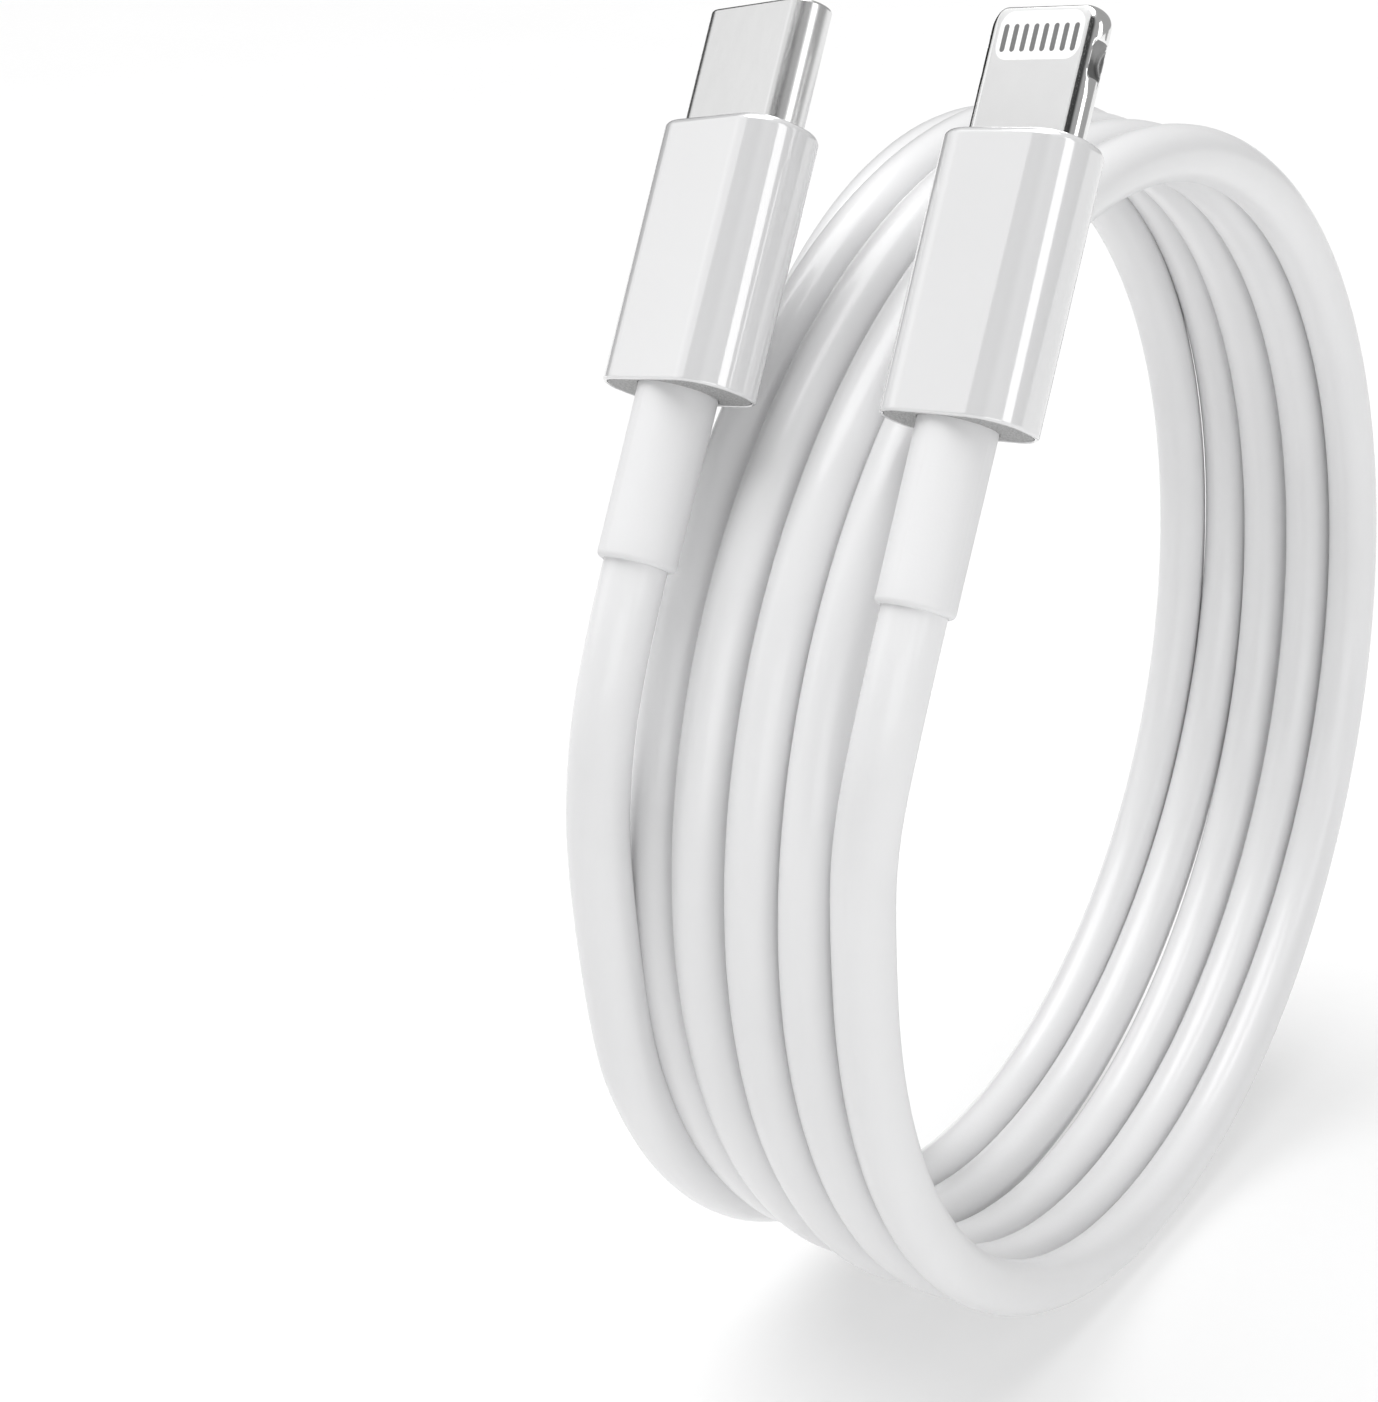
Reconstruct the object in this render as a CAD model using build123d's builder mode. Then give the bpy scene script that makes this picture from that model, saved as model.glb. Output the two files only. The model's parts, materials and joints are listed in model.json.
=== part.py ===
from build123d import *
import math
import os

# Charging cable with a flat 8-contact phone plug on one end and a reversible
# 24-contact charger plug on the other, its cord wound into a standing coil.
# The coil's axis lies along Y, its lowest point is at z = 0, and both plugs
# rise from its left side (-X). Millimetres throughout.

# ---------------------------------------------------------------- cord and coil
CORD_D = 3.25
CORD_CORE_D = 2.30
COIL_RADIUS = 33.7
COIL_PITCH = 3.4
COIL_TURNS = 4.5
COIL_FRONT_Y = -12.1
COIL_SKEW = 0.25
COIL_SLACK = 0.4  # how far the rear turns stand out beyond the others
LEAD_RADIUS = 35.1
LEAD_Y = 3.1
RETURN_RADIUS = 22.0
RETURN_Y = 5.0
RAMP_SECTORS = 8
COIL_PLUG_CLEARANCE = 0.45

# ---------------------------------------------------------------- shared plug sizes
HOUSING_T = 4.8
HOUSING_WALL = 0.5
HOUSING_EDGE = 0.2
HOUSING_CORNER = HOUSING_T / 2 - HOUSING_EDGE
HOUSING_TIP_WALL = 1.0
RIM_WALL = 0.2
CAP_T = 0.6
FLANGE_T = 0.8
MOULD_LENGTH = 2.6
BORE_FILLET = 0.25
CRIMP_T = 0.35
CRIMP_LENGTH = 2.2
SHIELD_T = 0.15
SHIELD_CLEARANCE = 0.3
SHIELD_GAP = 0.1
WIRE_D = 0.5
WIRE_REACH = 2.4
WIRE_SPACING = 1.1
SOLDER_LENGTH = 0.5
CHIP_SIZE = (2.2, 2.4, 0.6)
CAPACITOR_SIZE = (0.5, 1.0, 0.4)

# ---------------------------------------------------------------- phone plug
PHONE_END = (-32.02, -14.00, 17.63)
PHONE_LEAN = 28.6
PHONE_TILT = 0.7
PHONE_TWIST = -9.2
PHONE_WIDTH = 8.3
PHONE_LENGTH = 14.0
PHONE_RELIEF_D = 4.0
PHONE_RELIEF_LENGTH = 9.0
PHONE_BOARD_WIDTH = 5.6
PHONE_BOARD_T = 0.66
TAB_WIDTH = 6.7
TAB_T = 1.5
TAB_REACH = 6.65
TAB_EMBED = 1.8
TAB_CORNER = 1.1
TAB_WALL = 0.75
TAB_BORE_T = 0.9
TAB_TIP_WALL = 0.5
PANEL_SIDE_GAP = 0.875
PANEL_WIDTH = TAB_WIDTH - 2 * PANEL_SIDE_GAP
PANEL_HEIGHT = 2.45
PANEL_TIP_GAP = 0.35
PANEL_CORNER = 0.75
PAD_COUNT = 8
PAD_WIDTH = 0.29
PAD_LENGTH = 1.4
PAD_TIP_GAP = 1.0
PAD_LEG_WIDTH = 0.2
PAD_SIDE_GAP = 1.185
PAD_PITCH = (TAB_WIDTH - 2 * PAD_SIDE_GAP - PAD_LEG_WIDTH) / (PAD_COUNT - 1)
PAD_LEG_T = 0.12
NOTCH_RADIUS = 1.3
NOTCH_DEPTH = 0.45
NOTCH_HEIGHT = 0.9
NOTCH_TIP_GAP = 2.65

# ---------------------------------------------------------------- charger plug
CHARGER_END = (-32.71, 1.67, 17.58)
CHARGER_LEAN = 29.1
CHARGER_TILT = 0.9
CHARGER_TWIST = -18.2
CHARGER_WIDTH = 9.4
CHARGER_LENGTH = 13.7
CHARGER_RELIEF_D = 4.1
CHARGER_RELIEF_LENGTH = 8.9
CHARGER_BOARD_WIDTH = 6.8
CHARGER_BOARD_T = 0.8
SHELL_WIDTH = 8.25
SHELL_T = 2.4
SHELL_WALL = 0.25
SHELL_REACH = 6.3
SHELL_EMBED = 2.5
SHELL_LIP = 0.1
CARRIER_FRONT = 1.6
SPRING_COUNT = 12
SPRING_PITCH = 0.5
SPRING_WIDTH = 0.25
SPRING_T = 0.15
SPRING_LENGTH = 3.5
SPRING_BUMP = 0.15
SPRING_BUMP_LENGTH = 0.4
HINGE_GAP = 0.05
LATCH_T = 0.2
LATCH_HEIGHT = 0.6
LATCH_HOOK = 0.2
LATCH_EDGE = 3.55
MID_PLATE_T = 0.2
GROUND_SPRING_T = 0.1
GROUND_SPRING_LENGTH = 0.6
GROUND_SPRING_WIDTH = 1.2
GROUND_SPRING_SPACING = 3.0

# The short lead between each plug and the coil runs straight out of the boot for LEAD_RUN,
# and comes straight down for LEAD_DROP onto the coil's left side, at the level of its axis.
LEAD_RUN = 5.6
LEAD_DROP = 5.6

CORD_R = CORD_D / 2
pieces: list[Part] = []


def keep(part: Part, label: str) -> Part:
    """Label a finished piece and put it on the list that is exported."""
    part.label = label
    pieces.append(part)
    return part


def plug_plane(end: tuple, lean: float, tilt: float, twist: float, reach: float) -> Plane:
    """Plane on a plug's mating face: +Z out of the plug, X across its width, -Y outwards."""
    axis = Vector(
        math.sin(math.radians(lean)) * math.cos(math.radians(tilt)),
        math.sin(math.radians(tilt)),
        math.cos(math.radians(lean)) * math.cos(math.radians(tilt)),
    )
    origin = Vector(*end) + axis * reach
    flat = Plane(origin=origin, x_dir=(0, -1, 0), z_dir=axis)
    across = flat.x_dir * math.cos(math.radians(twist)) + flat.y_dir * math.sin(math.radians(twist))
    return Plane(origin=origin, x_dir=across, z_dir=axis)


# ---------------------------------------------------------------- pieces both plugs share
def make_housing(face: Plane, label: str, width: float, length: float, insert: tuple) -> None:
    """Glossy outer sleeve, closed at the mating end but for the metal insert."""
    inner_w = width - 2 * HOUSING_WALL
    inner_t = HOUSING_T - 2 * HOUSING_WALL
    insert_w, insert_t = insert
    with BuildPart() as housing:
        with BuildSketch(face.offset(-length)):
            RectangleRounded(width, HOUSING_T, HOUSING_CORNER)
        extrude(amount=length)
        with BuildSketch(face.offset(-length)):
            RectangleRounded(inner_w, inner_t, HOUSING_CORNER - HOUSING_WALL)
        extrude(amount=length - HOUSING_TIP_WALL, mode=Mode.SUBTRACT)
        with BuildSketch(face.offset(-length)):
            RectangleRounded(width - 2 * RIM_WALL, HOUSING_T - 2 * RIM_WALL, HOUSING_CORNER - RIM_WALL)
        extrude(amount=CAP_T, mode=Mode.SUBTRACT)
        with BuildSketch(face.offset(-HOUSING_TIP_WALL)):
            SlotOverall(insert_w, insert_t)
        extrude(amount=HOUSING_TIP_WALL, mode=Mode.SUBTRACT)
    keep(housing.part, f"{label}_housing")


def make_rear_cap(face: Plane, label: str, width: float, length: float, relief_d: float) -> None:
    """Matt plate that closes the cord end of the housing."""
    with BuildPart() as rear_cap:
        with BuildSketch(face.offset(-length)):
            RectangleRounded(width - 2 * RIM_WALL, HOUSING_T - 2 * RIM_WALL, HOUSING_CORNER - RIM_WALL)
            Circle(relief_d / 2, mode=Mode.SUBTRACT)
        extrude(amount=CAP_T)
    keep(rear_cap.part, f"{label}_rear_cap")


def make_strain_relief(face: Plane, label: str, width: float, length: float, relief: tuple) -> None:
    """Soft boot round the cord, with a flange that the rear cap holds in."""
    relief_d, relief_length = relief
    inner_w = width - 2 * HOUSING_WALL
    inner_t = HOUSING_T - 2 * HOUSING_WALL
    with BuildPart() as strain_relief:
        with BuildSketch(face.offset(-length - relief_length)):
            Circle(relief_d / 2)
        extrude(amount=relief_length + CAP_T)
        with BuildSketch(face.offset(-length + CAP_T)):
            RectangleRounded(inner_w, inner_t, HOUSING_CORNER - HOUSING_WALL)
        extrude(amount=FLANGE_T)
        with BuildSketch(face.offset(-length - relief_length)):
            Circle(CORD_R)
        extrude(amount=relief_length + CAP_T + FLANGE_T, mode=Mode.SUBTRACT)
        rim = strain_relief.edges().filter_by(GeomType.CIRCLE).filter_by(
            lambda edge: abs(edge.radius - relief_d / 2) < 0.001
        )
        chamfer(rim.sort_by(lambda edge: face.to_local_coords(edge.center()).Z)[0], BORE_FILLET / 2)
    keep(strain_relief.part, f"{label}_strain_relief")


def make_cord_entry(face: Plane, label: str, length: float, relief_length: float) -> None:
    """Jacket inside the boot, then the stripped core inside the crimp ring."""
    jacket_end = -length + CAP_T + FLANGE_T
    core_end = jacket_end + MOULD_LENGTH
    with BuildPart() as jacket:
        with BuildSketch(face.offset(-length - relief_length)):
            Circle(CORD_R)
        extrude(amount=length + relief_length + jacket_end)
    keep(jacket.part, f"{label}_cord_jacket_end")
    with BuildPart() as core:
        with BuildSketch(face.offset(jacket_end)):
            Circle(CORD_CORE_D / 2)
        extrude(amount=core_end - jacket_end)
    keep(core.part, f"{label}_cord_core")
    with BuildPart() as crimp_ring:
        with BuildSketch(face.offset(jacket_end + (MOULD_LENGTH - CRIMP_LENGTH) / 2)):
            Circle(CORD_CORE_D / 2 + CRIMP_T)
            Circle(CORD_CORE_D / 2, mode=Mode.SUBTRACT)
        extrude(amount=CRIMP_LENGTH)
    keep(crimp_ring.part, f"{label}_crimp_ring")


def make_inner_mould(face: Plane, label: str, width: float, length: float) -> None:
    """Block of filler that locks the crimped cord into the housing."""
    inner_w = width - 2 * HOUSING_WALL
    inner_t = HOUSING_T - 2 * HOUSING_WALL
    with BuildPart() as inner_mould:
        with BuildSketch(face.offset(-length + CAP_T + FLANGE_T)):
            RectangleRounded(inner_w, inner_t, HOUSING_CORNER - HOUSING_WALL)
            Circle(CORD_CORE_D / 2 + CRIMP_T, mode=Mode.SUBTRACT)
        extrude(amount=MOULD_LENGTH)
    keep(inner_mould.part, f"{label}_inner_mould")


def make_shield(face: Plane, label: str, width: float, span: tuple, side: int) -> None:
    """One half of the folded shield can, open at both ends; side is -1 front, 1 rear."""
    low, high = span
    inset = HOUSING_WALL + SHIELD_CLEARANCE
    outer_w = width - 2 * inset
    outer_t = HOUSING_T - 2 * inset
    corner = HOUSING_CORNER - inset
    with BuildPart() as shield:
        with BuildSketch(face.offset(low)):
            RectangleRounded(outer_w, outer_t, corner)
            RectangleRounded(
                outer_w - 2 * SHIELD_T, outer_t - 2 * SHIELD_T, corner - SHIELD_T, mode=Mode.SUBTRACT
            )
            with Locations((0, side * outer_t / 2)):
                Rectangle(outer_w, outer_t, mode=Mode.INTERSECT)
        extrude(amount=high - low)
    name = "front" if side < 0 else "rear"
    keep(shield.part, f"{label}_shield_{name}")


def make_board(face: Plane, label: str, board: tuple, span: tuple, wire_end: float) -> None:
    """Circuit board with its chip, capacitors, wires and solder joints."""
    board_w, board_t = board
    low, high = span
    surface = board_t / 2
    with BuildPart() as circuit_board:
        with BuildSketch(face.offset(low)):
            Rectangle(board_w, board_t)
        extrude(amount=high - low)
    keep(circuit_board.part, f"{label}_circuit_board")

    middle = (low + high) / 2
    chip_w, chip_l, chip_t = CHIP_SIZE
    with BuildPart() as chip:
        with BuildSketch(face.offset(middle - chip_l / 2)):
            with Locations((0, -surface - chip_t / 2)):
                Rectangle(chip_w, chip_t)
        extrude(amount=chip_l)
    keep(chip.part, f"{label}_control_chip")

    cap_w, cap_l, cap_t = CAPACITOR_SIZE
    with BuildPart() as capacitors:
        with BuildSketch(face.offset(middle - cap_l / 2)):
            for x in (-1.5, -0.5, 0.5, 1.5):
                with Locations((x * chip_w / 2, surface + cap_t / 2)):
                    Rectangle(cap_w, cap_t)
        extrude(amount=cap_l)
    keep(capacitors.part, f"{label}_board_capacitors")

    wire_y = surface + WIRE_D / 2
    spots = [(sx * WIRE_SPACING / 2, sy * wire_y) for sx in (-1, 1) for sy in (-1, 1)]
    with BuildPart() as wires:
        with BuildSketch(face.offset(wire_end)):
            with Locations(*spots):
                Circle(WIRE_D / 2)
        extrude(amount=WIRE_REACH)
    keep(wires.part, f"{label}_wires")
    with BuildPart() as solder:
        with BuildSketch(face.offset(wire_end + WIRE_REACH)):
            with Locations(*spots):
                Rectangle(WIRE_D * 1.4, WIRE_D)
        extrude(amount=SOLDER_LENGTH)
    keep(solder.part, f"{label}_solder_joints")


# ---------------------------------------------------------------- phone plug's insert
def make_tab(face: Plane) -> None:
    """Steel tab frame with a contact window on each face and a notch on each side."""
    panel_z = TAB_REACH - PANEL_TIP_GAP - PANEL_HEIGHT / 2
    bore_w = TAB_WIDTH - 2 * TAB_WALL
    pocket = (TAB_T - TAB_BORE_T) / 2
    outline = TAB_REACH + TAB_EMBED + 2 * TAB_CORNER
    side_plane = Plane(origin=face.origin, x_dir=face.x_dir, z_dir=-face.y_dir)
    with BuildPart() as tab:
        with BuildSketch(face.offset(-TAB_EMBED)):
            SlotOverall(TAB_WIDTH, TAB_T)
        extrude(amount=TAB_EMBED + TAB_REACH)
        with BuildSketch(side_plane.offset(-TAB_T)):
            with Locations((0, TAB_REACH - outline / 2)):
                RectangleRounded(TAB_WIDTH, outline, TAB_CORNER)
        extrude(amount=2 * TAB_T, mode=Mode.INTERSECT)
        with BuildSketch(face.offset(-TAB_EMBED)):
            Rectangle(bore_w, TAB_BORE_T)
        extrude(amount=TAB_EMBED + TAB_REACH - TAB_TIP_WALL, mode=Mode.SUBTRACT)
        with BuildSketch(side_plane.offset(-TAB_T / 2)):
            with Locations((0, panel_z)):
                RectangleRounded(PANEL_WIDTH, PANEL_HEIGHT, PANEL_CORNER)
        extrude(amount=pocket, mode=Mode.SUBTRACT)
        with BuildSketch(side_plane.offset(TAB_T / 2)):
            with Locations((0, panel_z)):
                RectangleRounded(PANEL_WIDTH, PANEL_HEIGHT, PANEL_CORNER)
        extrude(amount=-pocket, mode=Mode.SUBTRACT)
        with BuildSketch(side_plane.offset(-NOTCH_HEIGHT / 2)):
            for side in (-1, 1):
                with Locations((side * (TAB_WIDTH / 2 + NOTCH_RADIUS - NOTCH_DEPTH), TAB_REACH - NOTCH_TIP_GAP)):
                    Circle(NOTCH_RADIUS)
        extrude(amount=NOTCH_HEIGHT, mode=Mode.SUBTRACT)
    keep(tab.part, "phone_plug_tab_frame")


def make_tab_contacts(face: Plane) -> None:
    """White contact panels, gilt pads and the insulating core inside the tab."""
    panel_z = TAB_REACH - PANEL_TIP_GAP - PANEL_HEIGHT / 2
    pad_z = TAB_REACH - PAD_TIP_GAP - PAD_LENGTH / 2
    pocket = (TAB_T - TAB_BORE_T) / 2
    core_w = TAB_WIDTH - 2 * TAB_WALL
    core_t = TAB_BORE_T - 2 * PAD_LEG_T
    leg_top = pad_z + PAD_LENGTH / 4
    leg_low = -TAB_EMBED - 0.8
    row = [((i - (PAD_COUNT - 1) / 2) * PAD_PITCH, pad_z) for i in range(PAD_COUNT)]
    side_plane = Plane(origin=face.origin, x_dir=face.x_dir, z_dir=-face.y_dir)
    for name, sign in (("front", 1), ("rear", -1)):
        outer = side_plane.offset(sign * TAB_T / 2)
        with BuildPart() as panel:
            with BuildSketch(outer):
                with Locations((0, panel_z)):
                    RectangleRounded(PANEL_WIDTH, PANEL_HEIGHT, PANEL_CORNER)
                with Locations(*row):
                    SlotOverall(PAD_LENGTH, PAD_WIDTH, rotation=90, mode=Mode.SUBTRACT)
            extrude(amount=-sign * pocket)
        keep(panel.part, f"phone_plug_contact_panel_{name}")
        with BuildPart() as contacts:
            with BuildSketch(outer):
                with Locations(*row):
                    SlotOverall(PAD_LENGTH, PAD_WIDTH, rotation=90)
            extrude(amount=-sign * pocket)
            with BuildSketch(side_plane.offset(sign * TAB_BORE_T / 2)):
                with Locations(*[(x, (leg_top + leg_low) / 2) for x, _ in row]):
                    Rectangle(PAD_LEG_WIDTH, leg_top - leg_low)
            extrude(amount=-sign * PAD_LEG_T)
        keep(contacts.part, f"phone_plug_contacts_{name}")
    with BuildPart() as core:
        with BuildSketch(face.offset(-TAB_EMBED)):
            Rectangle(core_w, core_t)
        extrude(amount=TAB_EMBED + TAB_REACH - TAB_TIP_WALL)
    keep(core.part, "phone_plug_contact_core")


# ---------------------------------------------------------------- charger plug's insert
def make_shell(face: Plane) -> None:
    """Seamless drawn steel shell."""
    with BuildPart() as shell:
        with BuildSketch(face.offset(-SHELL_EMBED)):
            SlotOverall(SHELL_WIDTH, SHELL_T)
        extrude(amount=SHELL_EMBED + SHELL_REACH)
        mouth = shell.faces().sort_by(lambda f: face.to_local_coords(f.center()).Z)[-1]
        fillet(mouth.edges(), SHELL_LIP)
        with BuildSketch(face.offset(-SHELL_EMBED)):
            SlotOverall(SHELL_WIDTH - 2 * SHELL_WALL, SHELL_T - 2 * SHELL_WALL)
        extrude(amount=SHELL_EMBED + SHELL_REACH, mode=Mode.SUBTRACT)
    keep(shell.part, "charger_plug_shell")


def spring_row() -> list[float]:
    """Positions of one row of contacts across the plug."""
    return [(i - (SPRING_COUNT - 1) / 2) * SPRING_PITCH for i in range(SPRING_COUNT)]


def make_carrier(face: Plane) -> None:
    """Insulator that holds the contact tails and the mid plate in the shell."""
    tail_y = CHARGER_BOARD_T / 2 + SPRING_T / 2
    spots = [(x, side * tail_y) for x in spring_row() for side in (-1, 1)]
    with BuildPart() as carrier:
        with BuildSketch(face.offset(-SHELL_EMBED)):
            SlotOverall(SHELL_WIDTH - 2 * SHELL_WALL, SHELL_T - 2 * SHELL_WALL)
            with Locations(*spots):
                Rectangle(SPRING_WIDTH, SPRING_T, mode=Mode.SUBTRACT)
            Rectangle(2 * LATCH_EDGE, MID_PLATE_T, mode=Mode.SUBTRACT)
        extrude(amount=SHELL_EMBED + CARRIER_FRONT)
    keep(carrier.part, "charger_plug_contact_carrier")
    with BuildPart() as mid_plate:
        with BuildSketch(face.offset(-SHELL_EMBED)):
            Rectangle(2 * LATCH_EDGE, MID_PLATE_T)
        extrude(amount=SHELL_EMBED + CARRIER_FRONT)
    keep(mid_plate.part, "charger_plug_mid_plate")


def make_contact_rows(face: Plane) -> None:
    """Fixed contact tails, and the sprung contact fingers in front of them."""
    tail_y = CHARGER_BOARD_T / 2 + SPRING_T / 2
    finger_low = CARRIER_FRONT + HINGE_GAP
    bump_low = finger_low + SPRING_LENGTH - 1.5 * SPRING_BUMP_LENGTH
    for name, side in (("front", -1), ("rear", 1)):
        with BuildPart() as tails:
            with BuildSketch(face.offset(-SHELL_EMBED - 0.6)):
                with Locations(*[(x, side * tail_y) for x in spring_row()]):
                    Rectangle(SPRING_WIDTH, SPRING_T)
            extrude(amount=SHELL_EMBED + 0.6 + CARRIER_FRONT)
        keep(tails.part, f"charger_plug_contact_tails_{name}")
        with BuildPart() as fingers:
            with BuildSketch(face.offset(finger_low)):
                with Locations(*[(x, side * tail_y) for x in spring_row()]):
                    Rectangle(SPRING_WIDTH, SPRING_T)
            extrude(amount=SPRING_LENGTH)
            with BuildSketch(face.offset(bump_low)):
                bump_y = side * (CHARGER_BOARD_T / 2 - SPRING_BUMP / 2)
                with Locations(*[(x, bump_y) for x in spring_row()]):
                    Rectangle(SPRING_WIDTH, SPRING_BUMP)
            extrude(amount=SPRING_BUMP_LENGTH)
        keep(fingers.part, f"charger_plug_contact_fingers_{name}")


def make_latches(face: Plane) -> None:
    """Side latches that click into the socket's tongue."""
    latch_low = CARRIER_FRONT + HINGE_GAP
    for name, side in (("left", -1), ("right", 1)):
        with BuildPart() as latch:
            with BuildSketch(face.offset(latch_low)):
                with Locations((side * (LATCH_EDGE - LATCH_T / 2), 0)):
                    Rectangle(LATCH_T, LATCH_HEIGHT)
            extrude(amount=SPRING_LENGTH)
            with BuildSketch(face.offset(latch_low + SPRING_LENGTH - SPRING_BUMP_LENGTH)):
                with Locations((side * (LATCH_EDGE - LATCH_T - LATCH_HOOK / 2), 0)):
                    Rectangle(LATCH_HOOK, LATCH_HEIGHT)
            extrude(amount=SPRING_BUMP_LENGTH)
        keep(latch.part, f"charger_plug_latch_{name}")


def make_ground_springs(face: Plane) -> None:
    """Thin pads inside the shell's mouth that ground it to the socket."""
    inner = SHELL_T / 2 - SHELL_WALL
    for name, side in (("front", -1), ("rear", 1)):
        with BuildPart() as ground:
            with BuildSketch(face.offset(SHELL_REACH - 2 * GROUND_SPRING_T - GROUND_SPRING_LENGTH)):
                y = side * (inner - GROUND_SPRING_T / 2)
                for x in (-GROUND_SPRING_SPACING / 2, GROUND_SPRING_SPACING / 2):
                    with Locations((x, y)):
                        Rectangle(GROUND_SPRING_WIDTH, GROUND_SPRING_T)
            extrude(amount=GROUND_SPRING_LENGTH)
        keep(ground.part, f"charger_plug_ground_springs_{name}")


# ---------------------------------------------------------------- cord
def make_lead(start: Vector, heading: Vector, end: Vector, label: str) -> float:
    """Uncoiled stretch of cord between a boot and the coil; gives its length."""
    points = [start, start + heading * LEAD_RUN, end + Vector(0, 0, LEAD_DROP), end]
    runs = [b - a for a, b in zip(points, points[1:])]
    radii = []
    for before, after in zip(runs, runs[1:]):
        turn = math.radians(before.get_angle(after))
        radii.append(0.45 * min(before.length, after.length) / math.tan(turn / 2))
    with BuildPart() as lead:
        with BuildLine() as path:
            FilletPolyline(*points, radius=radii)
        with BuildSketch(Plane(origin=points[0], z_dir=runs[0])):
            Circle(CORD_R)
        sweep(path=path.wire())
    length = path.wire().length
    share = lead.part.volume / (math.pi * CORD_R**2 * length)
    print(f"{label}: length {length:.1f}, radii {[round(r, 1) for r in radii]}, volume ratio {share:.4f}")
    keep(lead.part, label)
    return length


def coil_band(first: float, last: float, y_span: tuple, r_span: tuple) -> Part:
    """Ring sector, its angles measured from the left side downwards, as seen along +Y."""
    y_low, y_high = y_span
    r_low, r_high = r_span
    with BuildPart(mode=Mode.PRIVATE) as band:
        with BuildSketch(Plane.XY):
            with Locations((-(r_low + r_high) / 2, (y_low + y_high) / 2)):
                Rectangle(r_high - r_low, y_high - y_low)
        revolve(axis=Axis((0, 0, 0), (0, -1, 0)), revolution_arc=last - first)
    return band.part.rotate(Axis((0, 0, 0), (0, -1, 0)), first)


def make_coil() -> None:
    """Closed solid of the coil's outer shape; its front edge climbs one pitch per turn."""
    inner = COIL_RADIUS - CORD_R
    outer = COIL_RADIUS + CORD_R
    step = 360 / RAMP_SECTORS
    last_turn_y = COIL_FRONT_Y + COIL_PITCH * (COIL_TURNS - 0.5)
    split = last_turn_y - CORD_R
    front = COIL_FRONT_Y - CORD_R
    drift = COIL_SKEW * COIL_TURNS
    with BuildPart() as coil:
        for sector in range(RAMP_SECTORS):
            climb = COIL_PITCH * sector / (RAMP_SECTORS - 1)
            skin = outer - COIL_PLUG_CLEARANCE if sector * step >= 270 else outer
            add(coil_band(sector * step, (sector + 1) * step, (front + climb, split), (inner, skin)))
        add(coil_band(0, 60, (split, LEAD_Y + CORD_R), (inner - drift, LEAD_RADIUS + CORD_R)))
        add(coil_band(60, 90, (split, LEAD_Y + CORD_R), (inner - drift, outer + COIL_SLACK)))
        add(coil_band(90, 270, (split, LEAD_Y + CORD_R), (inner, outer + COIL_SLACK)))
        add(coil_band(270, 360, (split, last_turn_y + CORD_R), (inner - drift, LEAD_RADIUS - CORD_R - 0.2)))
        add(coil_band(-75, 85, (last_turn_y, RETURN_Y + CORD_R), (RETURN_RADIUS - CORD_R, inner)))
    print("coil valid:", coil.part.is_valid, "solids:", len(coil.part.solids()), "volume:", round(coil.part.volume))
    keep(coil.part, "cord_coil")


def wound_length() -> float:
    """Length of the cord in the coil: its turns, its hidden return and the strand that climbs."""
    turns = math.hypot(2 * math.pi * COIL_RADIUS, COIL_PITCH) * (COIL_TURNS + 0.25)
    hidden = math.pi * (COIL_RADIUS + RETURN_RADIUS) / 2 * 0.9 + math.pi * (LEAD_RADIUS - RETURN_RADIUS) / 2
    climb = LEAD_RADIUS * math.radians(75)
    return turns + hidden + climb


# ---------------------------------------------------------------- assembly
phone = plug_plane(PHONE_END, PHONE_LEAN, PHONE_TILT, PHONE_TWIST, PHONE_LENGTH + PHONE_RELIEF_LENGTH)
charger = plug_plane(
    CHARGER_END, CHARGER_LEAN, CHARGER_TILT, CHARGER_TWIST, CHARGER_LENGTH + CHARGER_RELIEF_LENGTH
)
plugs = [
    (phone, "phone_plug", PHONE_WIDTH, PHONE_LENGTH, (PHONE_RELIEF_D, PHONE_RELIEF_LENGTH),
     (TAB_WIDTH, TAB_T), TAB_EMBED, (PHONE_BOARD_WIDTH, PHONE_BOARD_T)),
    (charger, "charger_plug", CHARGER_WIDTH, CHARGER_LENGTH, (CHARGER_RELIEF_D, CHARGER_RELIEF_LENGTH),
     (SHELL_WIDTH, SHELL_T), SHELL_EMBED, (CHARGER_BOARD_WIDTH, CHARGER_BOARD_T)),
]
for face, label, width, length, relief, insert, embed, board in plugs:
    mould_end = -length + CAP_T + FLANGE_T + MOULD_LENGTH
    make_housing(face, label, width, length, insert)
    make_rear_cap(face, label, width, length, relief[0])
    make_strain_relief(face, label, width, length, relief)
    make_cord_entry(face, label, length, relief[1])
    make_inner_mould(face, label, width, length)
    for side in (-1, 1):
        make_shield(face, label, width, (mould_end + SHIELD_GAP, -embed - SHIELD_GAP), side)
    make_board(face, label, board, (mould_end + 1.2, -embed), mould_end)
make_tab(phone)
make_tab_contacts(phone)
make_shell(charger)
make_carrier(charger)
make_contact_rows(charger)
make_latches(charger)
make_ground_springs(charger)
coil_start = Vector(-COIL_RADIUS, COIL_FRONT_Y, 0)
coil_finish = Vector(-LEAD_RADIUS, LEAD_Y, 0)
phone_lead = make_lead(Vector(*PHONE_END), -phone.z_dir, coil_start, "cord_phone_lead")
charger_lead = make_lead(Vector(*CHARGER_END), -charger.z_dir, coil_finish, "cord_charger_lead")
make_coil()
print("cord length:", round(wound_length() + phone_lead + charger_lead), "pieces:", len(pieces))

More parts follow.
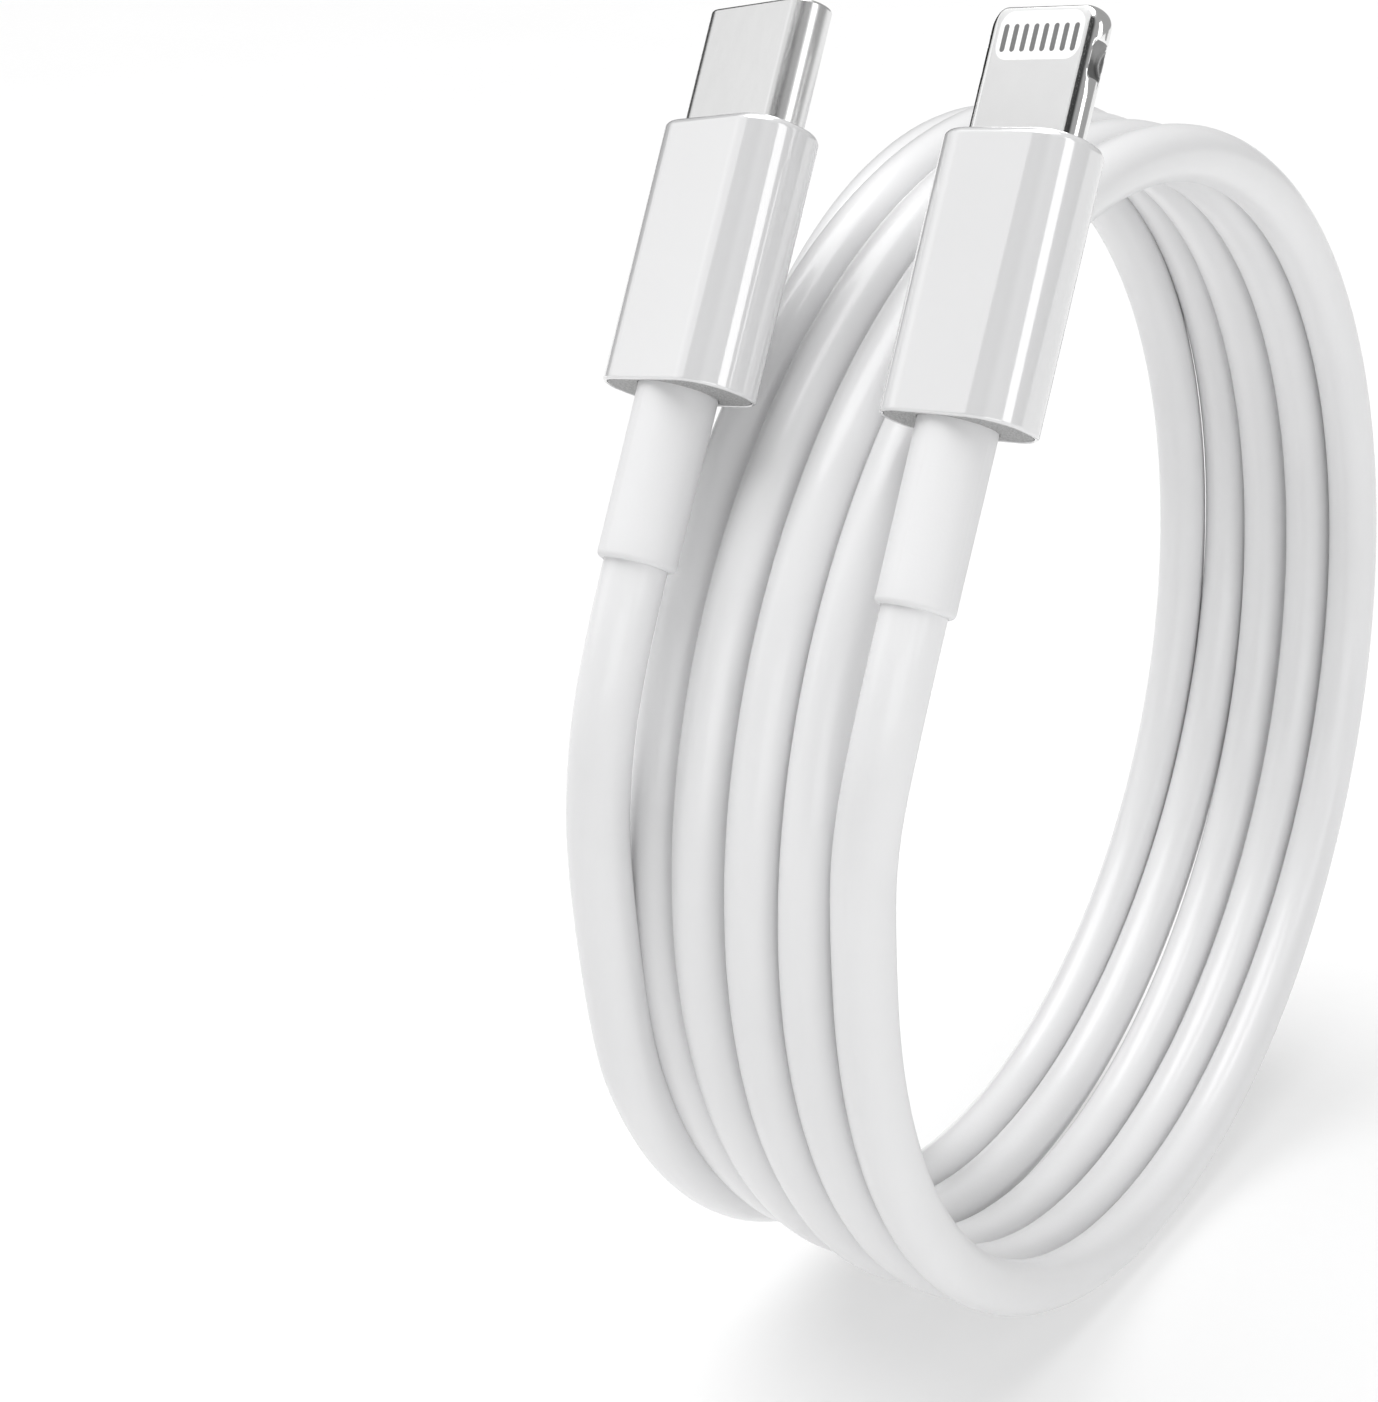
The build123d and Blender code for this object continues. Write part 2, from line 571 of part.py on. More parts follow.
# The part's origin is the middle of its box in X and Y, at the level it stands on.
boxes = [piece.bounding_box() for piece in pieces]
low_x = min(box.min.X for box in boxes)
high_x = max(box.max.X for box in boxes)
low_y = min(box.min.Y for box in boxes)
high_y = max(box.max.Y for box in boxes)
low_z = min(box.min.Z for box in boxes)
high_z = max(box.max.Z for box in boxes)
shift = Vector(-(low_x + high_x) / 2, -(low_y + high_y) / 2, -low_z)
print("shift:", shift, "box:", high_x - low_x, high_y - low_y, high_z - low_z)

os.makedirs("parts", exist_ok=True)
for piece in pieces:
    placed = piece.moved(Location(shift))
    placed.label = piece.label
    export_step(placed, f"parts/{piece.label}.step")
for name, face in (("phone", phone), ("charger", charger)):
    print(name, "mating face:", face.origin + shift, "x", face.x_dir, "y", face.y_dir, "z", face.z_dir)
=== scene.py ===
"""Visual scene of a coiled charging cable with a phone plug and a charger plug.

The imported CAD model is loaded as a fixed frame. The cord, the two plug bodies, their
boots and their metal inserts are rebuilt as fine meshes in the same frame, in metres.
"""

from __future__ import annotations

import json
import logging
import math
from dataclasses import dataclass, field
from enum import Enum

import bmesh
import bpy
from mathutils import Matrix, Vector
from mathutils.geometry import delaunay_2d_cdt

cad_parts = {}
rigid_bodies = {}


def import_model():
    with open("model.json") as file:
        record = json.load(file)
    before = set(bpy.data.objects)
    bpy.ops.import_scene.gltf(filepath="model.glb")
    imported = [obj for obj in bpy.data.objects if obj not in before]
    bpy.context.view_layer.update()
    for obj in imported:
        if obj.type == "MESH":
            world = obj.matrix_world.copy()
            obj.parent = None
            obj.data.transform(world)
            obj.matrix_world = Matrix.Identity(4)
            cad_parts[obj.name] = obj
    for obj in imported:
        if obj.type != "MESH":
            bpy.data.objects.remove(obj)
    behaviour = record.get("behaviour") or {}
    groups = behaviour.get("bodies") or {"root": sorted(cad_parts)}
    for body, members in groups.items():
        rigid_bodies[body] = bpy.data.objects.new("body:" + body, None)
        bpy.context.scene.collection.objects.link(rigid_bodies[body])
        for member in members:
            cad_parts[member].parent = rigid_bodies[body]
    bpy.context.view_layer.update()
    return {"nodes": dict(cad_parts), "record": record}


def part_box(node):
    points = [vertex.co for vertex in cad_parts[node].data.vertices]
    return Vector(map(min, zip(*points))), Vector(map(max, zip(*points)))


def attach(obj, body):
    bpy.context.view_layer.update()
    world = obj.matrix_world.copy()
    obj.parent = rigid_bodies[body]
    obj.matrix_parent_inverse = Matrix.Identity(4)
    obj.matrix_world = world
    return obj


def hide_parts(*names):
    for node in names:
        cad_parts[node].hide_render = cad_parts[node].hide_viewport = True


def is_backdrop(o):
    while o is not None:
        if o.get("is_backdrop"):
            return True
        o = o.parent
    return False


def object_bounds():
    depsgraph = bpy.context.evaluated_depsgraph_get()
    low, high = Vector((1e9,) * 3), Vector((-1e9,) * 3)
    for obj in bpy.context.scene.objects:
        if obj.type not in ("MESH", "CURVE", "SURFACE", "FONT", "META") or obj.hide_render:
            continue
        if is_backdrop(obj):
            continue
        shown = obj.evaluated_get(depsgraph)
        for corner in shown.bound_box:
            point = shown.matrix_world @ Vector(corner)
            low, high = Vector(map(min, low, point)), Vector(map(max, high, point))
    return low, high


LOG = logging.getLogger("charging_cable")
MM = 0.001
CABLE = "cable"
Point2 = tuple[float, float]
Colour = tuple[float, float, float]


# ---------------------------------------------------------------- finishes
class Grain(Enum):
    """How a finish's fine texture is laid."""

    EVEN = "even"
    SPECKLED = "speckled"
    DRAWN = "drawn"


@dataclass(frozen=True)
class Finish:
    """One procedural surface finish; texture sizes are in millimetres."""

    name: str
    light: Colour
    dark: Colour
    roughness: Point2
    metallic: float = 0.0
    tone_size: float = 6.0
    grain_size: float = 0.12
    grain_depth: float = 0.002
    coat: float = 0.0
    coat_roughness: float = 0.03
    subsurface: float = 0.0
    ior: float = 1.5
    glow: float = 0.0
    grain: Grain = Grain.EVEN

    def build(self) -> bpy.types.Material:
        """Make the node material of this finish.

        Returns:
            The new material.
        """
        material = bpy.data.materials.new(self.name)
        material.use_nodes = True
        tree = material.node_tree
        shader = tree.nodes["Principled BSDF"]
        shader.inputs["Metallic"].default_value = self.metallic
        shader.inputs["Coat Weight"].default_value = self.coat
        shader.inputs["Coat Roughness"].default_value = self.coat_roughness
        shader.inputs["Coat IOR"].default_value = self.ior
        shader.inputs["IOR"].default_value = self.ior
        shader.inputs["Emission Color"].default_value = (1.0, 1.0, 1.0, 1.0)
        shader.inputs["Emission Strength"].default_value = self.glow
        shader.inputs["Subsurface Weight"].default_value = self.subsurface
        shader.inputs["Subsurface Scale"].default_value = MM
        place = self._placement(tree)
        tone = self._noise(tree, place, self.tone_size, 3.0)
        grain = self._noise(tree, place, self.grain_size, 2.0)
        ramp = tree.nodes.new("ShaderNodeValToRGB")
        spread = 0.04 if self.grain is Grain.SPECKLED else 0.25
        ramp.color_ramp.elements[0].position = 0.5 - spread
        ramp.color_ramp.elements[1].position = 0.5 + spread
        ramp.color_ramp.elements[0].color = (*self.dark, 1.0)
        ramp.color_ramp.elements[1].color = (*self.light, 1.0)
        source = grain if self.grain is Grain.SPECKLED else tone
        tree.links.new(source.outputs["Fac"], ramp.inputs["Fac"])
        tree.links.new(ramp.outputs["Color"], shader.inputs["Base Color"])
        spread_rough = tree.nodes.new("ShaderNodeMapRange")
        spread_rough.inputs["From Min"].default_value = 0.3
        spread_rough.inputs["From Max"].default_value = 0.7
        spread_rough.inputs["To Min"].default_value = self.roughness[0]
        spread_rough.inputs["To Max"].default_value = self.roughness[1]
        tree.links.new(grain.outputs["Fac"], spread_rough.inputs["Value"])
        tree.links.new(spread_rough.outputs["Result"], shader.inputs["Roughness"])
        bump = tree.nodes.new("ShaderNodeBump")
        bump.inputs["Strength"].default_value = 1.0
        bump.inputs["Distance"].default_value = self.grain_depth * MM
        tree.links.new(grain.outputs["Fac"], bump.inputs["Height"])
        tree.links.new(bump.outputs["Normal"], shader.inputs["Normal"])
        return material

    def _placement(self, tree: bpy.types.NodeTree) -> bpy.types.Node:
        """Place the texture on the piece, stretched along its length if it is drawn.

        Args:
            tree: Node tree that gets the nodes.

        Returns:
            The mapping node.
        """
        where = tree.nodes.new("ShaderNodeTexCoord")
        mapping = tree.nodes.new("ShaderNodeMapping")
        if self.grain is Grain.DRAWN:
            mapping.inputs["Scale"].default_value = (1.0, 0.03, 1.0)
            tree.links.new(where.outputs["UV"], mapping.inputs["Vector"])
        else:
            tree.links.new(where.outputs["Object"], mapping.inputs["Vector"])
        return mapping

    @staticmethod
    def _noise(tree: bpy.types.NodeTree, place: bpy.types.Node, size: float, detail: float) -> bpy.types.Node:
        """Noise whose features are about the given size.

        Args:
            tree: Node tree that gets the node.
            place: Mapping node that feeds it.
            size: Feature size in millimetres.
            detail: Octaves of finer noise.

        Returns:
            The noise node.
        """
        noise = tree.nodes.new("ShaderNodeTexNoise")
        noise.inputs["Scale"].default_value = 1.0 / (size * MM)
        noise.inputs["Detail"].default_value = detail
        tree.links.new(place.outputs["Vector"], noise.inputs["Vector"])
        return noise


FINISHES: dict[str, Finish] = {
    "cord": Finish("soft_cord_jacket", (0.74, 0.74, 0.745), (0.72, 0.72, 0.725), (0.34, 0.42),
                   grain_size=0.25, grain_depth=0.003, coat=0.4, coat_roughness=0.14),
    "housing": Finish("glossy_plug_body", (0.66, 0.66, 0.665), (0.65, 0.65, 0.655), (0.14, 0.17),
                      grain_size=0.5, grain_depth=0.0004, coat=1.0, coat_roughness=0.03, ior=1.9),
    "rear_cap": Finish("speckled_end_plate", (0.42, 0.42, 0.42), (0.26, 0.26, 0.26), (0.65, 0.85),
                       grain_size=0.09, grain_depth=0.012, grain=Grain.SPECKLED),
    "strain_relief": Finish("satin_boot", (0.72, 0.72, 0.725), (0.705, 0.705, 0.71), (0.42, 0.52),
                            grain_size=0.15, grain_depth=0.003),
    "tab_steel": Finish("blasted_steel", (0.77, 0.77, 0.77), (0.75, 0.75, 0.75), (0.34, 0.42), metallic=1.0,
                        tone_size=1.5, grain_size=0.05, grain_depth=0.002),
    "shell_steel": Finish("drawn_steel", (0.80, 0.80, 0.80), (0.78, 0.78, 0.78), (0.22, 0.27), metallic=1.0,
                          tone_size=0.8, grain_size=0.05, grain_depth=0.0003, grain=Grain.DRAWN),
    "panel": Finish("white_contact_panel", (0.90, 0.90, 0.90), (0.88, 0.88, 0.88), (0.25, 0.32), coat=0.3),
    # Dark plated contacts; the same material is also used as painted shade deep in the tab's side notches.
    "contact": Finish("plated_contact_and_notch_shade", (0.26, 0.26, 0.26), (0.22, 0.22, 0.22), (0.28, 0.36), metallic=1.0,
                      tone_size=0.8, grain_size=0.05, grain_depth=0.001),
    "braid": Finish("woven_braid", (0.62, 0.60, 0.56), (0.42, 0.40, 0.37), (0.35, 0.50), metallic=1.0,
                    tone_size=0.3, grain_size=0.12, grain_depth=0.04),
    "tin_steel": Finish("tinned_steel", (0.74, 0.74, 0.72), (0.66, 0.66, 0.65), (0.28, 0.38), metallic=1.0,
                        tone_size=1.0, grain_size=0.08),
    "filler": Finish("waxy_filler", (0.80, 0.79, 0.74), (0.76, 0.75, 0.70), (0.45, 0.55), subsurface=0.1),
    "board": Finish("solder_mask", (0.03, 0.20, 0.08), (0.02, 0.16, 0.07), (0.20, 0.28),
                    tone_size=1.2, coat=0.4),
    "chip": Finish("black_moulding", (0.025, 0.025, 0.027), (0.018, 0.018, 0.02), (0.40, 0.55),
                   tone_size=1.0),
    "ceramic": Finish("ceramic_block", (0.42, 0.32, 0.22), (0.36, 0.27, 0.18), (0.35, 0.50), tone_size=0.4),
    "wire": Finish("wire_insulation", (0.62, 0.06, 0.05), (0.55, 0.05, 0.04), (0.28, 0.36),
                   tone_size=1.0, coat=0.2),
    "solder": Finish("bright_solder", (0.80, 0.80, 0.79), (0.70, 0.70, 0.69), (0.12, 0.24), metallic=1.0,
                     tone_size=0.4, grain_size=0.2),
    "gilt": Finish("gold_plating", (0.86, 0.66, 0.30), (0.80, 0.60, 0.26), (0.16, 0.24), metallic=1.0,
                   tone_size=0.6, grain_size=0.06),
    "polished": Finish("polished_edge", (0.86, 0.86, 0.86), (0.82, 0.82, 0.82), (0.10, 0.14), metallic=1.0,
                       tone_size=2.0, grain_size=0.1, grain_depth=0.0004),
    "floor": Finish("light_table", (0.45, 0.45, 0.45), (0.44, 0.44, 0.44), (0.55, 0.65), tone_size=80.0,
                    grain_size=2.0, grain_depth=0.01, glow=0.46),
}


class Paint:
    """The made materials, by the record's slot name."""

    def __init__(self) -> None:
        """Make every finish once."""
        self.made = {slot: finish.build() for slot, finish in FINISHES.items()}

    def dress(self, piece: bpy.types.Object, slot: str) -> None:
        """Give a piece one finish over its whole surface.

        Args:
            piece: Mesh or curve object.
            slot: Name of the finish.
        """
        piece.data.materials.clear()
        piece.data.materials.append(self.made[slot])


# ---------------------------------------------------------------- outlines and ring meshes
def rounded_outline(width: float, thickness: float, corner: float, per_corner: int = 14) -> list[Point2]:
    """Rounded rectangle about the origin, with the same number of points whatever its size.

    Args:
        width: Size along local X.
        thickness: Size along local Y.
        corner: Corner radius.
        per_corner: Points on each corner arc.

    Returns:
        The outline's points, anticlockwise.
    """
    points = []
    for quarter in range(4):
        side_x = 1 if quarter in (0, 3) else -1
        side_y = 1 if quarter in (0, 1) else -1
        centre_x = side_x * (width / 2 - corner)
        centre_y = side_y * (thickness / 2 - corner)
        for step in range(per_corner):
            angle = math.pi / 2 * (quarter + step / (per_corner - 1))
            points.append((centre_x + corner * math.cos(angle), centre_y + corner * math.sin(angle)))
    return points


class RingMesh:
    """Mesh made of rings with equal numbers of points, joined by quads."""

    def __init__(self, name: str, place: Matrix) -> None:
        """Start an empty mesh.

        Args:
            name: Name of the piece.
            place: Turns local millimetres into the row frame's metres.
        """
        self.name = name
        self.place = place
        self.rings: list[list[Vector]] = []

    def level(self, outline: list[Point2], height: float) -> None:
        """Add one flat ring.

        Args:
            outline: Points across the local axis.
            height: Place along the local axis.
        """
        self.rings.append([Vector((x, y, height)) for x, y in outline])

    def build(self, closed: bool = False, sharp: float = 32.0) -> bpy.types.Object:
        """Join the rings and make the object.

        Args:
            closed: Join the last ring to the first.
            sharp: Angle in degrees over which an edge stays sharp.

        Returns:
            The new object, in the row frame.
        """
        count = len(self.rings[0])
        vertices = [self.place @ point for ring in self.rings for point in ring]
        faces = []
        joins = len(self.rings) if closed else len(self.rings) - 1
        for low in range(joins):
            high = (low + 1) % len(self.rings)
            for i in range(count):
                j = (i + 1) % count
                faces.append((low * count + i, low * count + j, high * count + j, high * count + i))
        mesh = bpy.data.meshes.new(self.name)
        mesh.from_pydata(vertices, [], faces)
        self._lay_uv(mesh, count)
        mesh.validate()
        self._outward(mesh)
        mesh.shade_smooth()
        mesh.set_sharp_from_angle(angle=math.radians(sharp))
        piece = bpy.data.objects.new(self.name, mesh)
        bpy.context.scene.collection.objects.link(piece)
        weighted = piece.modifiers.new("even_shading", "WEIGHTED_NORMAL")
        weighted.keep_sharp = True
        return piece

    def _lay_uv(self, mesh: bpy.types.Mesh, count: int) -> None:
        """Unroll the surface: U runs round the ring and V along it, both in metres.

        Args:
            mesh: Mesh with its faces made.
            count: Points in a ring.
        """
        layer = mesh.uv_layers.new(name="unrolled")
        first = self.rings[0]
        round_length = sum((first[i] - first[i - 1]).length for i in range(count)) * MM
        for polygon in mesh.polygons:
            for loop in polygon.loop_indices:
                vertex = mesh.loops[loop].vertex_index
                height = self.rings[vertex // count][vertex % count].z
                layer.data[loop].uv = (round_length * (vertex % count) / count, height * MM)

    @staticmethod
    def _outward(mesh: bpy.types.Mesh) -> None:
        """Turn all faces outwards.

        Args:
            mesh: Closed mesh.
        """
        work = bmesh.new()
        work.from_mesh(mesh)
        bmesh.ops.recalc_face_normals(work, faces=work.faces)
        work.to_mesh(mesh)
        work.free()


def arc_steps(count: int) -> list[float]:
    """Angles from 0 to a quarter turn, in radians.

    Args:
        count: Number of intervals.

    Returns:
        count + 1 angles.
    """
    return [math.pi / 2 * i / count for i in range(count + 1)]


# ---------------------------------------------------------------- plugs
@dataclass
class Plug:
    """One plug: its oblong body, end plate and boot. Sizes in millimetres."""

    label: str
    width: float
    length: float
    boot_diameter: float
    boot_length: float
    insert: Point2
    insert_mount: str
    shoulder_mount: str
    thickness: float = 4.8
    corner: float = 2.2
    front_round: float = 0.4
    rear_round: float = 0.16
    rim: float = 0.22
    rim_bevel: float = 0.05
    wall: float = 0.55
    mouth_depth: float = 0.9
    plate: float = 0.55
    plate_sink: float = 0.03
    cord_diameter: float = 3.25
    boot_round: float = 0.3
    boot_taper: float = 0.03

    def frame(self, record: dict) -> Matrix:
        """Plug frame: origin in the middle of the mating face, Z out of the plug, Y to its back.

        Args:
            record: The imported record, whose mounts give the place.

        Returns:
            Matrix from local millimetres to row-frame metres.
        """
        mounts = {mount["name"]: mount for mount in record["mounts"]}
        origin = Vector(mounts[self.insert_mount]["pos_m"])
        out = Vector(mounts[self.insert_mount]["axis"]).normalized()
        back = (origin - Vector(mounts[self.shoulder_mount]["pos_m"])).normalized()
        across = back.cross(out).normalized()
        turn = Matrix((across, out.cross(across), out)).transposed().to_4x4()
        return Matrix.Translation(origin) @ turn @ Matrix.Scale(MM, 4)

    def build_body(self, place: Matrix, paint: Paint) -> bpy.types.Object:
        """Glossy oblong body with soft edges, a thin rear rim and a hole for the insert.

        Args:
            place: Plug frame.
            paint: Made materials.

        Returns:
            The body.
        """
        body = RingMesh(f"{self.label}_body", place)
        rear = -self.length
        self._inset(body, self.rim, rear + self.plate)
        self._inset(body, self.rim, rear + self.rim_bevel)
        for angle in arc_steps(5):
            draw = self.rear_round * (1 - math.sin(angle))
            self._inset(body, draw, rear + self.rear_round * (1 - math.cos(angle)))
        for angle in arc_steps(8):
            draw = self.front_round * (1 - math.cos(angle))
            self._inset(body, draw, self.front_round * (math.sin(angle) - 1))
        width, thick = self.insert
        for gap, height in ((0.05, 0.0), (0.03, -0.03), (0.03, -self.mouth_depth)):
            hole = rounded_outline(width + 2 * gap, thick + 2 * gap, thick / 2 + gap)
            body.level(hole, height)
        self._inset(body, self.wall, -self.mouth_depth)
        self._inset(body, self.wall, rear + self.plate)
        piece = body.build(closed=True)
        return self._finish_piece(piece, "housing", paint)

    def _inset(self, mesh: RingMesh, inset: float, height: float) -> None:
        """Add the body's outline, drawn in by some amount.

        Args:
            mesh: Mesh that gets the ring.
            inset: Distance inside the body's outer face.
            height: Place along the plug.
        """
        outline = rounded_outline(self.width - 2 * inset, self.thickness - 2 * inset, self.corner - inset)
        mesh.level(outline, height)

    def build_plate(self, place: Matrix, paint: Paint) -> bpy.types.Object:
        """Matt plate that closes the body's rear end round the boot.

        Args:
            place: Plug frame.
            paint: Made materials.

        Returns:
            The plate.
        """
        plate = RingMesh(f"{self.label}_end_plate", place)
        face = -self.length + self.plate_sink
        back = -self.length + self.plate
        bore = self.boot_diameter + 0.04
        self._inset(plate, self.rim + 0.02, back)
        self._inset(plate, self.rim + 0.02, face + 0.04)
        self._inset(plate, self.rim + 0.06, face)
        plate.level(rounded_outline(bore + 0.1, bore + 0.1, bore / 2 + 0.05), face)
        plate.level(rounded_outline(bore, bore, bore / 2), face + 0.05)
        plate.level(rounded_outline(bore, bore, bore / 2), back)
        return self._finish_piece(plate.build(closed=True), "rear_cap", paint)

    def build_boot(self, place: Matrix, paint: Paint) -> bpy.types.Object:
        """Soft boot that leaves the end plate and holds the cord.

        Args:
            place: Plug frame.
            paint: Made materials.

        Returns:
            The boot.
        """
        boot = RingMesh(f"{self.label}_boot", place)
        radius = self.boot_diameter / 2
        end = -self.length - self.boot_length
        bore = self.cord_diameter / 2 + 0.01
        root = -self.length + self.plate
        profile = [(bore, root), (radius, root), (radius, -self.length - 1.0)]
        profile.append((radius - self.boot_taper, end + self.boot_round + 1.2))
        soft = min(self.boot_round, radius - bore - 0.02)
        for angle in arc_steps(6):
            reach = radius - self.boot_taper - soft * (1 - math.cos(angle))
            profile.append((reach, end + soft * (1 - math.sin(angle))))
        profile.append((bore, end + 0.02))
        for reach, height in profile:
            boot.level(rounded_outline(2 * reach, 2 * reach, reach), height)
        return self._finish_piece(boot.build(closed=True), "strain_relief", paint)

    def _finish_piece(self, piece: bpy.types.Object, slot: str, paint: Paint) -> bpy.types.Object:
        """Dress a piece, hide the CAD node it stands for and let it ride on the cable.

        Args:
            piece: The new piece.
            slot: Its material slot, which is also the end of the CAD node's name.
            paint: Made materials.

        Returns:
            The piece.
        """
        paint.dress(piece, slot)
        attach(piece, CABLE)
        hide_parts(f"{self.label}_{slot}")
        LOG.info("piece %s", piece.name)
        return piece


@dataclass
class TabInsert:
    """Flat steel tab with a contact window in each face and a scooped notch in each side, whose deep faces
    carry painted shade in the dark contact finish.
    """

    width: float = 6.7
    thickness: float = 1.5
    reach: float = 6.65
    root: float = -1.7
    corner: float = 1.1
    side_round: float = 0.75
    tip_round: float = 0.22
    window: Point2 = (4.95, 2.45)
    window_gap: float = 0.35
    window_corner: float = 0.75
    window_depth: float = 0.29
    notch_half: float = 1.0
    notch_height: float = 0.55
    notch_depth: float = 0.45
    notch_gap: float = 2.65
    # Scoop depth beyond which notch faces get painted shade (the dark contact finish).
    painted_shade_depth: float = 0.08
    rim_steps: int = 16

    def outline(self) -> list[Point2]:
        """Plan outline, from the right root up over the tip and down to the left root.

        Returns:
            Points in local X and Z.
        """
        half = self.width / 2
        notch_z = self.reach - self.notch_gap
        notch_low = notch_z - self.notch_half
        right = [(half, self.root + (notch_low - self.root) * i / 6) for i in range(6)]
        right += [(half, notch_low + 2 * self.notch_half * i / 24) for i in range(25)]
        for angle in arc_steps(16):
            across = half - self.corner * (1 - math.cos(angle))
            right.append((across, self.reach - self.corner * (1 - math.sin(angle))))
        right += [((half - self.corner) * (1 - i / 6), self.reach) for i in range(1, 6)]
        left = [(-x, z) for x, z in reversed(right)]
        bottom = [(-half + self.width * i / 8, self.root) for i in range(1, 8)]
        return right + [(0.0, self.reach)] + left + bottom

    def build(self, place: Matrix, paint: Paint) -> bpy.types.Object:
        """Make the tab: a rounded rim round the plan, two flat faces, a sunk window in each and painted shade
        deep in the side notches.

        Args:
            place: Plug frame.
            paint: Made materials.

        Returns:
            The tab.
        """
        plan = self.outline()
        normals = self._normals(plan)
        half = self.thickness / 2
        work = bmesh.new()
        rim = []
        flat = [self._face_edge(point, normal) for point, normal in zip(plan, normals)]
        for i in range(2 * self.rim_steps + 1):
            angle = math.pi / 2 * (1 - i / self.rim_steps)
            share = 1 - math.cos(angle)
            ring = []
            for (x, z), (flat_x, flat_z) in zip(plan, flat):
                side_x, side_z = x + (flat_x - x) * share, z + (flat_z - z) * share
                depth = half * math.sin(angle)
                side_x -= math.copysign(self._scoop(depth, z), x) if abs(x) > self.width / 2 - 0.01 else 0.0
                ring.append(work.verts.new((side_x, depth, side_z)))
            rim.append(ring)
        for lower, upper in zip(rim, rim[1:]):
            self._join(work, lower, upper, 1)
        # Faces deep in the side notches get material 2, the dark contact finish, as painted shade for the
        # notch's hollow.
        for face in work.faces:
            middle = face.calc_center_median()
            if self._scoop(middle.y, middle.z) > self.painted_shade_depth and abs(middle.x) > self.width / 2 - 1.0:
                face.material_index = 2
        for side, edge in ((1, rim[0]), (-1, rim[-1])):
            mouth = [work.verts.new((x, side * half, z)) for x, z in self._window()]
            floor = [work.verts.new((x, side * (half - self.window_depth), z)) for x, z in self._window()]
            self._join(work, mouth, floor, 0)
            work.faces.new(floor)
            self._fill_between(work, edge, mouth)
        bmesh.ops.recalc_face_normals(work, faces=work.faces)
        mesh = bpy.data.meshes.new("phone_plug_tab")
        work.to_mesh(mesh)
        work.free()
        mesh.transform(place)
        mesh.shade_smooth()
        mesh.set_sharp_from_angle(angle=math.radians(40.0))
        piece = bpy.data.objects.new("phone_plug_tab", mesh)
        bpy.context.scene.collection.objects.link(piece)
        piece.modifiers.new("even_shading", "WEIGHTED_NORMAL").keep_sharp = True
        rim_faces = [face.material_index for face in mesh.polygons]
        paint.dress(piece, "tab_steel")
        mesh.materials.append(paint.made["polished"])
        # Material 2: the dark contact finish, used here as painted shade inside the notches.
        mesh.materials.append(paint.made["contact"])
        mesh.polygons.foreach_set("material_index", rim_faces)
        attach(piece, CABLE)
        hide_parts("phone_plug_tab_frame")
        LOG.info("piece %s", piece.name)
        return piece

    def _scoop(self, depth: float, z: float) -> float:
        """How far the side notch sinks below the rounded rim.

        Args:
            depth: Place through the tab's thickness.
            z: Place along the tab.

        Returns:
            The sink at that point, 0 outside the notch.
        """
        along = (z - self.reach + self.notch_gap) / self.notch_half
        through = depth / self.notch_height
        if abs(along) >= 1 or abs(through) >= 1:
            return 0.0
        return self.notch_depth * (1 - along * along) * (1 - through**4)

    def _face_edge(self, point: Point2, normal: Point2) -> Point2:
        """Where the rounded rim above a plan point meets the flat face.

        Args:
            point: Point of the plan outline.
            normal: Its outward normal.

        Returns:
            Point on the flat face's edge.
        """
        x, z = point
        face_half = self.width / 2 - self.side_round
        if z < self.reach - self.corner:
            return max(-face_half, min(face_half, x)), z
        draw = self.side_round * normal[0] ** 2 + self.tip_round * normal[1] ** 2
        return x - normal[0] * draw, z - normal[1] * draw

    @staticmethod
    def _join(work: bmesh.types.BMesh, lower: list, upper: list, finish: int) -> None:
        """Join two closed rings of equal length with quads.

        Args:
            work: Mesh being made.
            lower: First ring of vertices.
            upper: Second ring.
            finish: Material index of the quads.
        """
        count = len(lower)
        for i in range(count):
            j = (i + 1) % count
            work.faces.new((lower[i], lower[j], upper[j], upper[i])).material_index = finish

    @staticmethod
    def _fill_between(work: bmesh.types.BMesh, outer: list, inner: list) -> None:
        """Fill the flat face between an outer ring and a hole with triangles.

        Args:
            work: Mesh being made.
            outer: Ring round the face.
            inner: Ring round its hole.
        """
        verts = outer + inner
        points = [Vector((vert.co.x, vert.co.z)) for vert in verts]
        split = len(outer)
        edges = [(i, (i + 1) % split) for i in range(split)]
        edges += [(split + i, split + (i + 1) % len(inner)) for i in range(len(inner))]
        rings = [list(range(split)), list(range(split, len(verts)))]
        filled = delaunay_2d_cdt(points, edges, rings, 1, 1e-6)
        origin = [sources[0] for sources in filled[3]]
        for triangle in filled[2]:
            corners = [origin[i] for i in triangle]
            if not all(corner >= split for corner in corners):
                work.faces.new([verts[corner] for corner in corners])

    def _window(self) -> list[Point2]:
        """The contact window's outline.

        Returns:
            Points in local X and Z.
        """
        width, height = self.window
        middle = self.reach - self.window_gap - height / 2
        return [(x, middle + z) for x, z in rounded_outline(width, height, self.window_corner)]

    @staticmethod
    def _normals(plan: list[Point2]) -> list[Point2]:
        """Outward unit normal at each point of the plan.

        Args:
            plan: Plan outline, anticlockwise.

        Returns:
            One normal for each point.
        """
        normals = []
        for i in range(len(plan)):
            before = plan[i - 1]
            after = plan[(i + 1) % len(plan)]
            along_x = after[0] - before[0]
            along_z = after[1] - before[1]
            size = math.hypot(along_x, along_z)
            normals.append((along_z / size, -along_x / size))
        return normals


